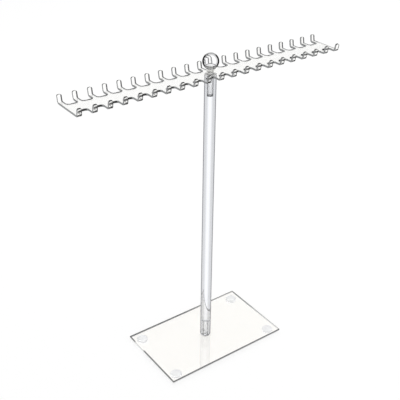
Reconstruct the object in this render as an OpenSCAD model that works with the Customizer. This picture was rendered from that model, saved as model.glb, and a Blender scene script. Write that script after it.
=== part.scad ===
/* [Base] */
// Length of the base plate, along the hook bar
base_l = 150; // [120:5:240]
// Width of the base plate, across the hook bar
base_w = 90; // [70:5:160]
// Thickness of the base plate
base_t = 2.5; // [2.5:0.5:6]
// Bevel on the upright corners of the base plate
base_corner = 0.5; // [0.2:0.1:4]
// Bevel along the polished edges of the base plate
base_bevel = 0.3; // [0.1:0.1:0.6]

/* [Feet] */
// Diameter of a rubber foot where it sticks to the base
foot_d = 12.5; // [8:0.5:18]
// Height of a rubber foot
foot_h = 3; // [2:0.5:6]
// Radius of the round shoulder of a foot
foot_round_r = 1.6; // [0.6:0.1:1.8]
// Distance from the middle of a foot to each edge of the base
foot_inset = 10.5; // [10:0.5:25]

/* [Post] */
// Diameter of the post
post_d = 12; // [10:0.5:15]
// Length of the post
post_l = 315; // [150:5:420]
// Bevel around both ends of the post
post_bevel = 0.4; // [0.2:0.1:0.8]
// Depth of the threaded hole in the foot of the post
foot_hole_depth = 20.5; // [14:0.5:30]
// Depth of the threaded hole in the head of the post
head_hole_depth = 21.5; // [14:0.5:30]
// Depth of the drill point at the bottom of each threaded hole
drill_point = 1.2; // [0.6:0.1:1.6]

/* [Screw and stud] */
// Outside diameter of the thread on the screw and the stud
thread_d = 6; // [4:0.5:6]
// Free space around the thread in its hole
thread_gap = 0.1; // [0.05:0.05:0.3]
// Free space left between the end of a thread and the bottom of its hole
thread_end_gap = 1; // [0.5:0.25:3]
// Head diameter of the countersunk screw under the base
screw_head_d = 10; // [8:0.2:10]
// Height of the straight rim of the screw head
screw_rim = 0.2; // [0.1:0.05:0.25]
// Free space around the screw head in its countersink
screw_gap = 0.05; // [0.05:0.05:0.2]
// Width of the slot in the screw head
slot_w = 1.4; // [1:0.2:2]
// Depth of the slot in the screw head
slot_depth = 1.1; // [0.6:0.1:1.4]
// Bevel on the ends of the thread
thread_bevel = 0.6; // [0.3:0.1:0.9]

/* [Hook bar] */
// Thickness of the sheet that the hook bar is cut from
bar_t = 2; // [1.5:0.25:3]
// Width of the bar across the outer faces of its bends
bar_w = 37.4; // [32:0.2:60]
// Number of hooks along each side
hooks = 21; // [5:2:25]
// Distance from one hook to the next
hook_pitch = 14.79; // [12:0.01:20]
// Width of one hook
hook_w = 4.2; // [4:0.1:7]
// Height of a hook's tip above the underside of the bar
hook_h = 8.3; // [7.5:0.1:14]
// Inner radius of the bend at the root of a hook
bend_r = 0.8; // [0.6:0.1:2.5]
// Angle of the bend at the root of a hook
bend_angle = 80; // [70:1:90]
// Radius of the round corners at a hook's tip
tip_r = 1.4; // [0.5:0.1:1.9]
// Width of the solid strip between the two rows of notches
spine_w = 16.4; // [14:0.2:18]
// Radius of the round inner corners of a notch
notch_r = 3; // [1:0.2:4.8]

/* [Knob] */
// Diameter of the ball
ball_d = 16; // [12:0.5:24]
// Diameter of the neck under the ball
neck_d = 8; // [7.5:0.5:9]
// Height of the neck between the bar and the ball
neck_h = 4.8; // [1:0.2:9]
// Radius of the cove between the neck and the ball
neck_cove_r = 0.8; // [0.4:0.1:0.9]
// Depth of the threaded hole in the knob
knob_hole_depth = 10.5; // [8:0.5:13]

/* [Hidden] */
$fn = 40;
eps = 0.01;
bend_fn = 36;
fillet_fn = 20;

// heights of the faces that the pieces meet at
base_z0 = foot_h;
base_z1 = base_z0 + base_t;
post_z1 = base_z1 + post_l;
bar_z1 = post_z1 + bar_t;

// threads and their holes
thread_hole_d = thread_d + 2 * thread_gap;
screw_l = base_t + foot_hole_depth - drill_point - thread_end_gap;
screw_cone = (screw_head_d - thread_d) / 2;
stud_z0 = post_z1 - head_hole_depth + drill_point + thread_end_gap;
stud_z1 = bar_z1 + knob_hole_depth - drill_point - thread_end_gap;

// the bent profile of a hook
bend_out_r = bend_r + bar_t;
bend_y = bar_w / 2 - bend_out_r;
tab_l = (hook_h - bend_out_r + bend_r * cos(bend_angle)) / sin(bend_angle);
bar_l = (hooks - 1) * hook_pitch + hook_w;
notch_w = hook_pitch - hook_w;
tab_r = min(tip_r, hook_w / 2 - eps);
hook_lead = 1;
// the straight of a hook lies this far inside its bend, so that their faces cross cleanly
bend_ease = 0.005;

// the knob
ball_r = ball_d / 2;
ball_z = bar_z1 + neck_h + sqrt(pow(ball_r, 2) - pow(neck_d / 2, 2));

clear = [0.86, 0.93, 0.97, 0.45];
clear_warm = [0.95, 0.95, 0.9, 0.45];
soft_grey = [0.82, 0.83, 0.84, 0.7];

// A rectangle with its four corners cut off at 45 degrees
module bevelled_rectangle(l, w, bevel) {
    square([l - 2 * bevel, w], center = true);
    square([l, w - 2 * bevel], center = true);
    for (sx = [-1, 1], sy = [-1, 1])
        translate([sx * (l / 2 - bevel), sy * (w / 2 - bevel)])
            circle(bevel, $fn = 4);
}

// A flat plate on z = 0 with a bevel along every edge
module bevelled_plate(l, w, t, corner, bevel) {
    translate([0, 0, t / 2])
    intersection() {
        linear_extrude(t, center = true) bevelled_rectangle(l, w, corner);
        rotate([90, 0, 0]) linear_extrude(w, center = true) bevelled_rectangle(l, t, bevel);
        rotate([90, 0, 90]) linear_extrude(l, center = true) bevelled_rectangle(w, t, bevel);
    }
}

module base_plate() {
    color(clear_warm)
    translate([0, 0, base_z0])
    difference() {
        bevelled_plate(base_l, base_w, base_t, base_corner, base_bevel);
        translate([0, 0, -eps]) cylinder(d = thread_hole_d, h = base_t + 2 * eps);
        countersink();
    }
}

// The cone that the screw head sits in, opening downwards
module countersink() {
    head_r = screw_head_d / 2 + screw_gap;
    rim = screw_rim + screw_gap;
    rotate_extrude()
        polygon([[0, -eps], [head_r, -eps], [head_r, rim],
                 [thread_hole_d / 2, rim + head_r - thread_hole_d / 2],
                 [0, rim + head_r - thread_hole_d / 2]]);
}

// A stick-on bumper, flat against the base and round at the edge that it stands on
module foot(sx, sy) {
    r = foot_d / 2;
    in = r - foot_round_r;
    color(soft_grey)
    translate([sx * (base_l / 2 - foot_inset), sy * (base_w / 2 - foot_inset), 0])
    rotate_extrude() {
        square([in, foot_h]);
        translate([0, foot_round_r]) square([r, foot_h - foot_round_r]);
        intersection() {
            translate([in, foot_round_r]) circle(foot_round_r, $fn = fillet_fn);
            translate([in - eps, 0]) square(foot_round_r + eps);
        }
    }
}

module foot_front_left() { foot(-1, -1); }
module foot_front_right() { foot(1, -1); }
module foot_back_left() { foot(-1, 1); }
module foot_back_right() { foot(1, 1); }

// Countersunk clear screw: its slotted head lies level with the underside of the base
module base_screw() {
    head_r = screw_head_d / 2;
    thread_r = thread_d / 2;
    color(clear)
    translate([0, 0, base_z0])
    difference() {
        rotate_extrude()
            polygon([[0, 0], [head_r, 0], [head_r, screw_rim],
                     [thread_r, screw_rim + screw_cone],
                     [thread_r, screw_l - thread_bevel], [thread_r - thread_bevel, screw_l],
                     [0, screw_l]]);
        translate([-head_r - eps, -slot_w / 2, -eps])
            cube([screw_head_d + 2 * eps, slot_w, slot_depth + eps]);
    }
}

// A blind hole with a shallow drill point, its mouth at the origin and its depth along +Z
module blind_hole(depth) {
    r = thread_hole_d / 2;
    rotate_extrude()
        polygon([[0, -eps], [r, -eps], [r, depth - drill_point], [0, depth]]);
}

module post() {
    r = post_d / 2;
    color(clear)
    translate([0, 0, base_z1])
    difference() {
        rotate_extrude()
            polygon([[0, 0], [r - post_bevel, 0], [r, post_bevel],
                     [r, post_l - post_bevel], [r - post_bevel, post_l], [0, post_l]]);
        blind_hole(foot_hole_depth);
        translate([0, 0, post_l]) mirror([0, 0, 1]) blind_hole(head_hole_depth);
    }
}

// One notch in plan: straight sides, round inner corners, open at the edge of the bar
module notch() {
    r = min(notch_r, notch_w / 2 - eps);
    in = spine_w / 2;
    translate([-notch_w / 2, in + r]) square([notch_w, bar_w]);
    translate([-notch_w / 2 + r, in]) square([notch_w - 2 * r, bar_w]);
    for (s = [-1, 1])
        translate([s * (notch_w / 2 - r), in + r]) circle(r, $fn = fillet_fn);
}

// The flat comb: the sheet in plan up to its bend lines, with the hole for the stud
module comb_flat() {
    linear_extrude(bar_t)
    difference() {
        square([bar_l, 2 * bend_y], center = true);
        for (i = [1 : hooks - 1], s = [0, 1])
            mirror([0, s]) translate([(i - hooks / 2) * hook_pitch, 0]) notch();
        circle(d = thread_hole_d);
    }
}

// Section of the room on one side of the sheet: over the flat, around the bend, along the hook
module bend_room(r, z, over) {
    translate([0, z]) square([bend_y, hook_h]);
    translate([bend_y, bend_out_r]) {
        circle(r, $fn = bend_fn);
        rotate(bend_angle) translate([0, bend_ease - r]) square([tab_l + over, r + over]);
    }
}

// Section of one hook, from a short lead in the flat up to its tip
module hook_section() {
    intersection() {
        translate([bend_y - hook_lead, 0]) square([bar_w, 2 * hook_h]);
        difference() {
            bend_room(bend_out_r, 0, 0);
            bend_room(bend_r, bar_t, 2);
        }
    }
}

// What is cut away around a round tip, in the plane of the leaning hook
module tip_corners() {
    difference() {
        translate([-hook_w, tab_l - tab_r]) square([2 * hook_w, tab_r + 1]);
        translate([-hook_w / 2 + tab_r, 0]) square([hook_w - 2 * tab_r, tab_l]);
        for (s = [-1, 1])
            translate([s * (hook_w / 2 - tab_r), tab_l - tab_r]) circle(tab_r, $fn = fillet_fn);
    }
}

// One hook, bent up from the sheet and leaning outwards
module hook() {
    difference() {
        rotate([90, 0, 90]) linear_extrude(hook_w, center = true) hook_section();
        translate([0, bend_y, bend_out_r])
        rotate([bend_angle, 0, 0])
        translate([0, 0, -bend_out_r - 1])
        linear_extrude(bar_t + 2) tip_corners();
    }
}

// Comb bar made from one sheet, with a row of hooks bent up along each long side
module hook_bar() {
    color(clear)
    translate([0, 0, post_z1]) {
        comb_flat();
        for (s = [0, 1], i = [0 : hooks - 1])
            mirror([0, s, 0])
            translate([(i - (hooks - 1) / 2) * hook_pitch, 0, 0]) hook();
    }
}

// Clear threaded rod that screws into the post and carries the knob
module knob_stud() {
    r = thread_d / 2;
    color(clear)
    rotate_extrude()
        polygon([[0, stud_z0], [r - thread_bevel, stud_z0], [r, stud_z0 + thread_bevel],
                 [r, stud_z1 - thread_bevel], [r - thread_bevel, stud_z1], [0, stud_z1]]);
}

// Ball knob turned with a short neck, which clamps the bar on the post
module ball_knob() {
    color(clear)
    difference() {
        union() {
            translate([0, 0, ball_z]) sphere(ball_r);
            translate([0, 0, bar_z1]) cylinder(d = neck_d, h = ball_z - bar_z1);
            neck_cove();
        }
        translate([0, 0, bar_z1]) blind_hole(knob_hole_depth);
    }
}

// The small cove that blends the neck into the ball
module neck_cove() {
    // the ring rests on the ball and on the neck
    ring_x = neck_d / 2 + neck_cove_r;
    ring_z = ball_z - sqrt(pow(ball_r + neck_cove_r, 2) - pow(ring_x, 2));
    touch = ball_r / (ball_r + neck_cove_r);
    rotate_extrude()
    difference() {
        polygon([[0, ring_z], [ring_x, ring_z],
                 [ring_x * touch, ball_z - (ball_z - ring_z) * touch], [0, ball_z]]);
        translate([ring_x, ring_z]) circle(neck_cove_r, $fn = fillet_fn);
    }
}

base_plate();
foot_front_left();
foot_front_right();
foot_back_left();
foot_back_right();
base_screw();
post();
hook_bar();
knob_stud();
ball_knob();
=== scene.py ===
from math import atan2, cos, floor, pi, radians, sin, sqrt

import bmesh
import bpy
from mathutils import Matrix, Vector


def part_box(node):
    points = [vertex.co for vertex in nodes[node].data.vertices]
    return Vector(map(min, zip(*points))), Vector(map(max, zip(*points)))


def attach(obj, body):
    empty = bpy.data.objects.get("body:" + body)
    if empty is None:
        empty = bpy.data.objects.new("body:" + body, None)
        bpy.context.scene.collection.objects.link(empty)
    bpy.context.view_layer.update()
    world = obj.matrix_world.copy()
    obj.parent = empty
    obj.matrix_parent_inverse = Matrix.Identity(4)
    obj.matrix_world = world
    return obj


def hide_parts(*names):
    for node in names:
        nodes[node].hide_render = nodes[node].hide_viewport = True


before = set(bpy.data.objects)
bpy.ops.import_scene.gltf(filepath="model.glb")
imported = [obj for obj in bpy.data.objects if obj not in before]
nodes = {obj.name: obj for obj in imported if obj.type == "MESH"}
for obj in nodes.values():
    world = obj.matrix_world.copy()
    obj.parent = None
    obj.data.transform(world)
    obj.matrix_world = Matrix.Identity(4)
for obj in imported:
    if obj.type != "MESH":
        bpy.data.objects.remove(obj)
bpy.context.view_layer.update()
scene = bpy.context.scene
print("frame loaded:", len(nodes), "pieces")


class Flow:
    # an output socket in a node tree, so that maths on it reads like maths
    def __init__(self, tree, socket=None):
        self.tree = tree
        self.socket = socket

    def make(self, kind, settings=None, values=None, output=0):
        node = self.tree.nodes.new(kind)
        for name, value in (settings or {}).items():
            setattr(node, name, value)
        for name, value in (values or {}).items():
            if isinstance(value, Flow):
                self.tree.links.new(value.socket, node.inputs[name])
            else:
                node.inputs[name].default_value = value
        return Flow(self.tree, node.outputs[output] if node.outputs else None)

    def maths(self, operation, *values):
        return self.make("ShaderNodeMath", {"operation": operation}, dict(enumerate(values)))

    def __add__(self, other):
        return self.maths("ADD", self, other)

    def __radd__(self, other):
        return self.maths("ADD", other, self)

    def __sub__(self, other):
        return self.maths("SUBTRACT", self, other)

    def __rsub__(self, other):
        return self.maths("SUBTRACT", other, self)

    def __mul__(self, other):
        return self.maths("MULTIPLY", self, other)

    def __rmul__(self, other):
        return self.maths("MULTIPLY", other, self)

    def __truediv__(self, other):
        return self.maths("DIVIDE", self, other)

    def __rtruediv__(self, other):
        return self.maths("DIVIDE", other, self)

    def __lt__(self, other):
        return self.maths("LESS_THAN", self, other)

    def __gt__(self, other):
        return self.maths("GREATER_THAN", self, other)

    def __abs__(self):
        return self.maths("ABSOLUTE", self)

    def rise(self, low, high, start=0.0, end=1.0):  # start at low, end at high, smooth between
        return self.make("ShaderNodeMapRange", {"interpolation_type": "SMOOTHSTEP"}, {
            "Value": self, "From Min": low, "From Max": high, "To Min": start, "To Max": end})

    def between(self, low, high, soft):  # 1 from low to high, soft at both ends
        return self.rise(low - soft, low) * self.rise(high, high + soft, 1.0, 0.0)

    def blend(self, first, second):  # a colour between two, self says how far
        return self.make("ShaderNodeMix", {"data_type": "RGBA"}, {0: self, 6: first, 7: second}, 2)

    def blendValue(self, first, second):  # the same for two numbers
        return self.make("ShaderNodeMix", None, {0: self, 2: first, 3: second})

    def blendShader(self, share, first, second):  # a surface between two, share says how far
        return self.make("ShaderNodeMixShader", None, {0: share, 1: first, 2: second})

    def axes(self, names, source="Object"):  # the place on the piece, a value for each axis
        place = self.make("ShaderNodeTexCoord", output=source)
        return [self.make("ShaderNodeSeparateXYZ", None, {"Vector": place}, axis) for axis in names]


def graph(owner):
    owner.use_nodes = True
    owner.node_tree.nodes.clear()
    return Flow(owner.node_tree)


def newMaterial(name):
    material = bpy.data.materials.new(name)
    return material, graph(material)


def grey(level, tint=(1, 1, 1)):
    return (level * tint[0], level * tint[1], level * tint[2], 1)


acrylic = {"ior": 1.49, "shadow": 0.98}


def clearBody(g, colour, roughness=0.0, ior=acrylic["ior"], clear=1.0, coat=0.0):
    return g.make("ShaderNodeBsdfPrincipled", None, {
        "Base Color": colour, "Roughness": roughness, "IOR": ior,
        "Transmission Weight": clear, "Coat Weight": coat})


def finishClear(g, body, shadow):  # the lamp shines through, so a clear piece throws only a faint shadow
    shadowRay = g.make("ShaderNodeLightPath", output="Is Shadow Ray")
    passing = g.make("ShaderNodeBsdfTransparent", None, {"Color": grey(shadow)})
    g.make("ShaderNodeOutputMaterial", None, {"Surface": g.blendShader(shadowRay, body, passing)})


# clear acrylic: a colour for the middle, then painted shade at the rims: its colour, low, high, by how far
# the face is turned away
sheet = {"middle": (1.0, 1.0, 0.985), "rimShade": (((0.82, 0.83, 0.84), 0.85, 1.0),)}
# the coat makes the base mirror the post more strongly
baseSheet = dict(sheet, middle=(0.99, 0.978, 0.95), coat=1.0, border={
    # the painted shade line along the edges, stronger on some sides than on others
    "half": (0.075, 0.045),
    "width": 0.0013,
    # the colour of the painted shade line
    "tint": (0.05, 0.052, 0.055),
    "backMore": 0.0004,  # so much wider along the back
    "backFade": (0.0, 0.06),
    "back": (1.0, 0.45),  # how strong the line is where that fade starts and ends
    "left": (0.98, 0.95),  # the same on a short side, at its front and back ends
    "right": (0.3, 1.25),
})
# the painted shade line along the notches, stronger at some ends of the bar than at others
barSheet = dict(sheet, comb={
    "pitch": 0.01479,
    "half": 0.005295,  # half the width of a notch
    "spine": 0.0082,  # from the middle of the bar to the end of a notch
    "round": 0.003,
    "width": 0.0009,
    # the colour of the painted shade line
    "tint": (0.08, 0.082, 0.085),
    "hookFrom": 0.6,  # the share of the round where the notch's end goes over into the hook's side
    "reach": 0.15,  # from the middle to either end, as in cutEdge
    "frontHook": (0.7, 0.1),  # how strong the line is at the left end and at the right end of the bar
    "frontNotch": (0.5, 0.0),
    "backHook": (0.0, 0.6),
})
rod = {
    "middle": (0.915, 0.925, 0.96),
    "rimShade": (
        ((0.60, 0.61, 0.63), 0.0, 0.09),
        ((0.66, 0.67, 0.70), 0.16, 0.28),
        ((0.04, 0.04, 0.05), 0.34, 0.54),
    ),
    "upright": True,
}
boreWall = {"middle": (1.0, 1.0, 1.0), "rimShade": (((0.16, 0.16, 0.17), 0.10, 0.40),), "upright": True}
ball = {
    "middle": (0.99, 0.99, 1.0),
    "rimShade": (((0.45, 0.45, 0.46), 0.2, 0.3),),
    # painted shade: a near-black matt ring at the ball's rim
    "ring": {
        "turn": (0.37, 0.47),
        "top": (0.0058, 0.0072),
        "topLevel": 0.35,
        "footStart": 0.001,  # below the ball's centre
        "footFade": 75,
        "ringShade": 0.01,
    },
}
lineCore = 0.8  # the share of a painted line's width that is full, the rest is its soft side
glint = (0.017, 0.031, 0.004)  # low, high and softness of the painted highlight, a bright stretch on the left of the base


def borderLine(g, border):  # painted shade: a dark line along the edges, where the cut shows through the face of the sheet
    x, y = g.axes("XY")
    halfX, halfY = border["half"]
    front = y < 0.0
    outX = abs(x) - halfX
    outY = abs(y) - halfY + (1.0 - front) * border["backMore"]
    line = g.maths("MAXIMUM", outX, outY).rise(-border["width"], -lineCore * border["width"])
    long = front.blendValue(x.rise(*border["backFade"], *border["back"]), 1.0)
    right, left = (y.rise(-halfY, halfY, *border[side]) for side in ("right", "left"))
    # the painted shade line is left out under the painted highlight
    short = (x < 0.0).blendValue(right, left * (1.0 - y.between(*glint)))
    return line * (outX < outY).blendValue(short, long)


def combLine(g, comb):  # painted shade: the same dark line along the notches, on the sides that face away from the light
    x, y = g.axes("XY")
    half = comb["pitch"] / 2
    along = g.maths("WRAP", x, half, -half)
    out = abs(y)
    side = g.maths("MAXIMUM", half - abs(along) + comb["round"] - comb["half"], 0.0)
    end = g.maths("MAXIMUM", comb["spine"] + comb["round"] - out, 0.0)
    gap = g.maths("SQRT", side * side + end * end) - comb["round"]
    line = gap.rise(lineCore * comb["width"], comb["width"], 1.0, 0.0)
    front = y < 0.0
    left = along < 0.0
    parts = ("frontHook", "frontNotch", "backHook")
    frontHook, frontNotch, backHook = (x.rise(-comb["reach"], comb["reach"], *comb[k]) for k in parts)
    notch = front.blendValue(1.0, frontNotch)
    hook = front.blendValue(left.blendValue(1.0, backHook), left.blendValue(frontHook, 0.0))
    onHook = 1.0 - (out < comb["spine"] + comb["hookFrom"] * comb["round"])
    return line * onHook.blendValue(notch, hook)


def ballRing(g, ring, turned, middle):  # painted shade: the dark ring of a ball, weaker at its top and gone at its neck
    up = g.axes("Z")[0] - middle
    thin = g.maths("MINIMUM", up + ring["footStart"], 0.0) * ring["footFade"]
    share = (turned + thin).rise(*ring["turn"]) * up.rise(*ring["top"], 1.0, ring["topLevel"])
    return share * (1.0 - g.make("ShaderNodeNewGeometry", output="Backfacing"))


def makeAcrylic(name, settings, middle=0.0):  # middle is the height of a ball's centre
    material, g = newMaterial(name)
    turned = g.make("ShaderNodeLayerWeight", None, {"Blend": 0.5}, "Facing")
    if settings.get("upright"):  # only the turn sideways counts, so the height of the eye is taken out
        plumb = g.make("ShaderNodeCombineXYZ", None, {"Z": 1.0})
        steep = 1.0 - g.make("ShaderNodeLayerWeight", None, {"Blend": 0.5, "Normal": plumb}, "Facing")
        turned = 1.0 - (1.0 - turned) / g.maths("SQRT", 1.0 - steep * steep)
    colour = grey(1, settings["middle"])
    # painted shade: the rims darken as the face turns away
    for tint, low, high in settings["rimShade"]:
        colour = turned.rise(low, high).blend(colour, grey(1, tint))
    for part, drawLine in (("border", borderLine), ("comb", combLine)):
        if part in settings:
            colour = drawLine(g, settings[part]).blend(colour, grey(1, settings[part]["tint"]))
    body = clearBody(g, colour, coat=settings.get("coat", 0.0))
    # the ball's painted shade ring, mixed in as a near-black matt surface
    ring = settings.get("ring")
    if ring:
        ringShade = g.make("ShaderNodeBsdfDiffuse", None, {"Color": grey(ring["ringShade"])})
        body = g.blendShader(ballRing(g, ring, turned, middle), body, ringShade)
    finishClear(g, body, acrylic["shadow"])
    return material


# painted shade: the polished cut round a sheet is painted with the dark of the room that it catches, more on
# the sides away from the light
cutEdge = {
    "pale": (0.42, 0.42),  # the levels at the left end and at the right end
    "dim": (0.05, 0.12),
    "deep": (0.02, 0.02),
    "reach": 0.15,
    "tint": (0.97, 0.99, 1.0),
    "roughness": 0.05,
    "clear": 0.2,  # the share of glass, the rest is plain and dark
    "shadow": 0.9,
}
baseCut = dict(cutEdge, dim=(0.1, 0.1), foot={"low": 0.0044, "high": 0.0050, "level": 0.97})


def makeCutEdge(name, settings, level):
    material, g = newMaterial(name)
    x, y, up = g.axes("XYZ")
    leftEnd, rightEnd = (grey(end, settings["tint"]) for end in level)
    # painted shade, changing from the left end to the right end
    colour = x.rise(-settings["reach"], settings["reach"]).blend(leftEnd, rightEnd)
    foot = settings.get("foot")
    if foot:  # painted reflection: the lower part of the cut is painted with the white that the sheet stands on
        colour = up.rise(foot["low"], foot["high"]).blend(grey(foot["level"]), colour)
        # painted highlight: a short bright stretch on the left side
        bright = y.between(*glint) * (x < 0.0)
        colour = bright.blend(colour, grey(foot["level"]))
    glass = clearBody(g, colour, settings["roughness"])
    dark = g.make("ShaderNodeBsdfPrincipled", None, {
        "Base Color": colour, "Roughness": 1.0, "Specular IOR Level": 0.0})
    finishClear(g, g.blendShader(settings["clear"], dark, glass), settings["shadow"])
    return material


sawn = {"colour": (0.97, 0.975, 0.98), "roughness": 0.35, "clear": 0.45, "matt": 0.5}


def makeSawnEnd(name, settings):  # the frosted faces that the saw and the drill leave
    material, g = newMaterial(name)
    colour = grey(1, settings["colour"])
    glass = clearBody(g, colour, settings["roughness"])
    frost = g.make("ShaderNodeBsdfTranslucent", None, {"Color": colour})
    matt = g.make("ShaderNodeBsdfDiffuse", None, {"Color": colour})
    both = g.blendShader(settings["matt"], frost, matt)
    finishClear(g, g.blendShader(settings["clear"], both, glass), acrylic["shadow"])
    return material


rubber = {"colour": (0.90, 0.915, 0.945), "roughness": 0.7, "ior": 1.41, "clear": 0.55, "shadow": 0.95}


def makeRubber(name, settings):
    material, g = newMaterial(name)
    colour = grey(1, settings["colour"])
    body = clearBody(g, colour, settings["roughness"], settings["ior"], settings["clear"])
    finishClear(g, body, settings["shadow"])
    return material


def addPiece(node, bm, materials, corner=35):  # takes the place of a CAD piece
    mesh = bpy.data.meshes.new(node + "_shape")
    bm.to_mesh(mesh)
    bm.free()
    mesh.shade_smooth()
    mesh.set_sharp_from_angle(angle=radians(corner))
    for material in materials:
        mesh.materials.append(material)
    piece = bpy.data.objects.new(node + "_shape", mesh)
    scene.collection.objects.link(piece)
    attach(piece, "root")
    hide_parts(node)
    return piece


glueGap = 0.00003  # a hair of air where two pieces sit on each other, so that light passes both faces
weld = 1e-7  # points closer than this are one
near = 0.0001  # a face this close to a form is part of it
bumper = {"radius": 0.00625, "round": 0.0016, "roundSteps": 6, "sides": 56}


def makeBumper(node, material, settings):
    low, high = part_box(node)
    height = high.z - glueGap
    radius = settings["radius"]
    place = Matrix.Translation(((low.x + high.x) / 2, (low.y + high.y) / 2, height / 2))
    bm = bmesh.new()
    bmesh.ops.create_cone(bm, cap_ends=True, segments=settings["sides"], radius1=radius,
                          radius2=radius, depth=height, matrix=place)
    rim = [e for e in bm.edges if max(v.co.z for v in e.verts) < height / 2]
    bmesh.ops.bevel(bm, geom=rim, offset=settings["round"], segments=settings["roundSteps"],
                    affect="EDGES", profile=0.5, material=-1)
    return addPiece(node, bm, [material])


def turnedShape(profile, sides):  # a piece from the lathe, its profile runs from axis to axis
    bm = bmesh.new()
    points = [bm.verts.new((radius, 0, height)) for radius, height in profile]
    edges = [bm.edges.new(pair) for pair in zip(points, points[1:])]
    bmesh.ops.spin(bm, geom=points + edges, axis=(0, 0, 1), cent=(0, 0, 0), angle=2 * pi,
                   steps=sides, use_merge=True)
    bmesh.ops.remove_doubles(bm, verts=bm.verts, dist=weld)
    bmesh.ops.recalc_face_normals(bm, faces=bm.faces)
    return bm


# the tapped holes, all with a drill's point at the end
bore = {
    "radius": 0.0031,
    "footDepth": 0.0205,
    "headDepth": 0.0215,
    "knobDepth": 0.0105,
    "point": 0.0012,
    "endNear": 0.0005,
}
postShape = {"radius": 0.006, "bevel": 0.0004, "sides": 96}


def makePost(node, materials, settings):
    low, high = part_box(node)
    foot, head = low.z + glueGap, high.z - glueGap
    radius, bevel = settings["radius"], settings["bevel"]
    footEnd, headEnd = low.z + bore["footDepth"], high.z - bore["headDepth"]
    profile = [
        (0, footEnd), (bore["radius"], footEnd - bore["point"]), (bore["radius"], foot),
        (radius - bevel, foot), (radius, foot + bevel), (radius, head - bevel), (radius - bevel, head),
        (bore["radius"], head), (bore["radius"], headEnd + bore["point"]), (0, headEnd)]
    return addPiece(node, turnedShape(profile, settings["sides"]), materials)


knobShape = {"ball": 0.008, "neck": 0.004, "cove": 0.0008, "steps": 56, "coveSteps": 6, "sides": 112}


def makeKnob(node, materials, settings):
    low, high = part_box(node)
    ballRadius, neck, cove = settings["ball"], settings["neck"], settings["cove"]
    middle, foot, holeEnd = high.z - ballRadius, low.z + glueGap, low.z + bore["knobDepth"]
    ringX = neck + cove
    ringZ = middle - sqrt((ballRadius + cove) ** 2 - ringX ** 2)
    touch = atan2(middle - ringZ, -ringX)
    profile = [(0, holeEnd), (bore["radius"], holeEnd - bore["point"]), (bore["radius"], foot), (neck, foot)]
    for i in range(settings["coveSteps"] + 1):
        angle = pi + (touch - pi) * i / settings["coveSteps"]
        profile.append((ringX + cove * cos(angle), ringZ + cove * sin(angle)))
    for i in range(1, settings["steps"]):
        angle = touch - pi + (pi / 2 - touch + pi) * i / settings["steps"]
        profile.append((ballRadius * cos(angle), middle + ballRadius * sin(angle)))
    profile.append((0, high.z))
    piece = addPiece(node, turnedShape(profile, settings["sides"]), materials)
    for face in piece.data.polygons:  # the ball itself keeps slot 0, its neck and hole get the plain one
        if abs((face.center - Vector((0, 0, middle))).length - ballRadius) > near:
            face.material_index = 1
    return piece


thread = {
    "radius": 0.003,
    "pitch": 0.001,
    "depth": 0.0005,
    "rows": 6,  # rings of points in one turn
    "lead": 0.0012,
    "skin": 0.97,  # points further out than this share of the radius are cut
    "corner": 60,
    "plain": {"knob_stud": (0.0008, 0.0008), "base_screw": (0.0024, 0.0008)},  # without thread, low and high
}


def makeThreaded(node, materials, settings):  # winds a thread into the shank of a CAD piece
    low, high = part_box(node)
    plainLow, plainHigh = settings["plain"][node]
    start, stop = low.z + plainLow, high.z - plainHigh
    bm = bmesh.new()
    bm.from_mesh(nodes[node].data)
    step = settings["pitch"] / settings["rows"]
    for i in range(int((stop - start) / step) + 1):
        bmesh.ops.bisect_plane(bm, geom=bm.verts[:] + bm.edges[:] + bm.faces[:], dist=weld,
                               plane_co=(0, 0, start + i * step), plane_no=(0, 0, 1))
    for vert in bm.verts:
        wide = vert.co.xy.length
        inside = min(vert.co.z - start, stop - vert.co.z)  # from the nearer end of the thread
        if inside > 0 and wide > settings["skin"] * settings["radius"]:
            turns = vert.co.z / settings["pitch"] - atan2(vert.co.y, vert.co.x) / (2 * pi)
            crest = abs(2 * (turns - floor(turns)) - 1)
            fade = min(1, inside / settings["lead"])
            vert.co.xy *= 1 - fade * (1 - crest) * settings["depth"] / wide
    return addPiece(node, bm, materials, settings["corner"])


# how much of a face's normal lies along a direction, for the face to count as facing that way
facing = {"sheet": 0.8, "end": 0.6, "left": 0.6, "side": 0.5}


def markCutEdges(piece, sheetNormal, towards):  # faces across the sheet are its cut and polished edges
    for face in piece.data.polygons:
        if abs(face.normal.dot(sheetNormal(face.center))) < facing["sheet"]:
            face.material_index = towards(face.normal)


# slots of a rod: 0 outside, 1 the end of a hole, 2 its own ends and the foot hole's end, 3 walls of holes
def markEnds(piece, hole):
    heights = [vert.co.z for vert in piece.data.vertices]
    foot, head = min(heights), max(heights)
    for face in piece.data.polygons:
        if abs(face.normal.z) > facing["end"]:
            inside = min(face.center.z - foot - hole["footDepth"], head - face.center.z)
            face.material_index = 2 if inside < hole["endNear"] else 1
        elif face.center.xy.length < hole["radius"] + near:
            face.material_index = 3


def baseEdge(normal):  # slot of a cut edge by the side it faces, for its painted shade: 2 along the back, 1 elsewhere
    return 2 if normal.y > facing["side"] else 1


def barEdge(normal):  # slot of a cut edge by the side it faces, for its painted shade: 1 pale, 2 dim, 3 deep
    if normal.x < -facing["left"]:
        return 1
    return 2 if normal.y < -facing["side"] or normal.z > facing["side"] else 3


bend = {"start": 0.0159, "radius": 0.0028, "lean": radians(80), "low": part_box("hook_bar")[0].z}


def flatNormal(point):
    return Vector((0, 0, 1))


def barNormal(point):  # the direction through the sheet of the hook bar, around its bends
    out, up = abs(point.y) - bend["start"], bend["low"] + bend["radius"] - point.z
    if out <= 0:
        return flatNormal(point)
    tab = Vector((0, sin(bend["lean"]), -cos(bend["lean"])))
    turn = Vector((0, out, -up)).normalized()
    if turn.z > tab.z:
        turn = tab
    return Vector((0, turn.y if point.y > 0 else -turn.y, turn.z))


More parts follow.
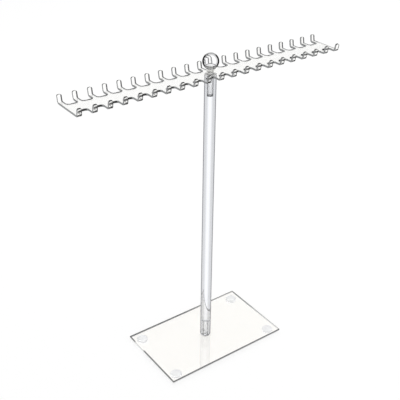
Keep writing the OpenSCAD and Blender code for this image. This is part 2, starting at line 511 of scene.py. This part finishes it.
clearSheet = makeAcrylic("clear sheet", sheet)
clearRod = makeAcrylic("clear rod", rod)
clearBore = makeAcrylic("clear bore", boreWall)
clearBall = makeAcrylic("clear ball", ball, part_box("ball_knob")[1].z - knobShape["ball"])
bumperRubber = makeRubber("bumper rubber", rubber)
sawnEnd = makeSawnEnd("sawn end", sawn)
ownFinish = {
    "base_plate": [
        makeAcrylic("clear base", baseSheet),
        makeCutEdge("plain base edge", baseCut, baseCut["dim"]),
        makeCutEdge("back base edge", cutEdge, cutEdge["deep"])],
    "hook_bar": [makeAcrylic("clear bar", barSheet)] + [
        makeCutEdge(level + " bar edge", cutEdge, cutEdge[level]) for level in ("pale", "dim", "deep")],
}
for name, piece in nodes.items():
    piece.data.materials.clear()
    for material in ownFinish.get(name, [clearRod, clearSheet]):
        piece.data.materials.append(material)
    if name.startswith("foot_"):
        makeBumper(name, bumperRubber, bumper)
markCutEdges(nodes["base_plate"], flatNormal, baseEdge)
markCutEdges(nodes["hook_bar"], barNormal, barEdge)
markEnds(makePost("post", [clearRod, clearSheet, sawnEnd, clearBore], postShape), bore)
makeKnob("ball_knob", [clearBall, clearSheet], knobShape)
for name in thread["plain"]:
    markEnds(makeThreaded(name, [clearBore, clearSheet, clearSheet, clearBore], thread), bore)
print("materials and turned pieces done")

# the room: a white floor and a plain sky, with a darker band that only shows through the acrylic
room = {
    "floorSize": 6.0,
    "floorColour": 0.30,
    "floorGlow": 0.715,
    "floorGlowThrough": 0.775,  # where it is seen through the acrylic
    "sky": ((0.0, 0.12, 1.0, 0.2), (0.42, 0.58, 0.0, 0.8)),  # low, high, start, end of each part
    "ambient": 0.8,
    "mirrorRoom": 1.0,  # the level of the room in a reflection
    "lampPower": 9.0,
    "lampSize": 1.2,
    "lampPlace": (0.9, 0.5, 1.7),
    "lampAim": (0, 0, 0.1),
}
cameraRig = {
    "place": (-0.39705, -0.52733, 0.56946),
    "pitch": 30.313,
    "yaw": -36.259,
    "roll": 0.792,
    "focal": 66.239,
    "sensor": 36,
}


def makeFloor(settings):
    bm = bmesh.new()
    bmesh.ops.create_grid(bm, x_segments=1, y_segments=1, size=settings["floorSize"] / 2)
    mesh = bpy.data.meshes.new("floor")
    bm.to_mesh(mesh)
    bm.free()
    ground = bpy.data.objects.new("floor", mesh)
    scene.collection.objects.link(ground)
    material, g = newMaterial("white floor")
    diffuse = g.make("ShaderNodeBsdfDiffuse", None, {"Color": grey(settings["floorColour"])})
    through = g.make("ShaderNodeLightPath", output="Is Transmission Ray")
    white = through.blend(grey(settings["floorGlow"]), grey(settings["floorGlowThrough"]))
    glow = g.make("ShaderNodeEmission", None, {"Color": white, "Strength": 1.0})
    both = g.make("ShaderNodeAddShader", None, {0: diffuse, 1: glow})
    g.make("ShaderNodeOutputMaterial", None, {"Surface": both})
    mesh.materials.append(material)


def makeRoom(settings):
    world = bpy.data.worlds.new("room")
    scene.world = world
    g = graph(world)
    up = g.axes("Z", "Generated")[0]
    falling, rising = settings["sky"]
    sky = up.rise(*falling) + up.rise(*rising)
    camera, mirror, through, bounces = (g.make("ShaderNodeLightPath", output=ray) for ray in (
        "Is Camera Ray", "Is Glossy Ray", "Is Transmission Ray", "Diffuse Depth"))
    direct = bounces < 0.5  # not after a matt surface
    seen = camera.blend(grey(settings["ambient"]), grey(1))
    seen = (mirror * direct).blend(seen, grey(settings["mirrorRoom"]))
    seen = (through * direct).blend(seen, sky)
    back = g.make("ShaderNodeBackground", None, {"Color": seen, "Strength": 1.0})
    g.make("ShaderNodeOutputWorld", None, {"Surface": back})


def makeLamp(settings):
    lamp = bpy.data.lights.new("soft lamp", "AREA")
    lamp.energy = settings["lampPower"]
    lamp.size = settings["lampSize"]
    rig = bpy.data.objects.new("soft lamp", lamp)
    rig.location = settings["lampPlace"]
    aim = Vector(settings["lampAim"]) - Vector(settings["lampPlace"])
    rig.rotation_euler = aim.to_track_quat("-Z", "Y").to_euler()
    rig.visible_glossy = False
    rig.visible_transmission = False
    scene.collection.objects.link(rig)


def makeCamera(settings):
    pitch, yaw, roll = (radians(settings[k]) for k in ("pitch", "yaw", "roll"))
    back = Vector((sin(yaw) * cos(pitch), -cos(yaw) * cos(pitch), sin(pitch)))
    level = Vector((0, 0, 1)).cross(back).normalized()
    rise = back.cross(level)
    right = level * cos(roll) + rise * sin(roll)
    up = rise * cos(roll) - level * sin(roll)
    camera = bpy.data.cameras.new("camera")
    camera.lens = settings["focal"]
    camera.sensor_width = settings["sensor"]
    rig = bpy.data.objects.new("camera", camera)
    turn = Matrix((right, up, back)).transposed()
    rig.matrix_world = Matrix.Translation(settings["place"]) @ turn.to_4x4()
    scene.collection.objects.link(rig)
    scene.camera = rig


makeFloor(room)
makeRoom(room)
makeLamp(room)
makeCamera(cameraRig)
scene.view_settings.view_transform = "Standard"
print("floor, room, lamp and camera done")
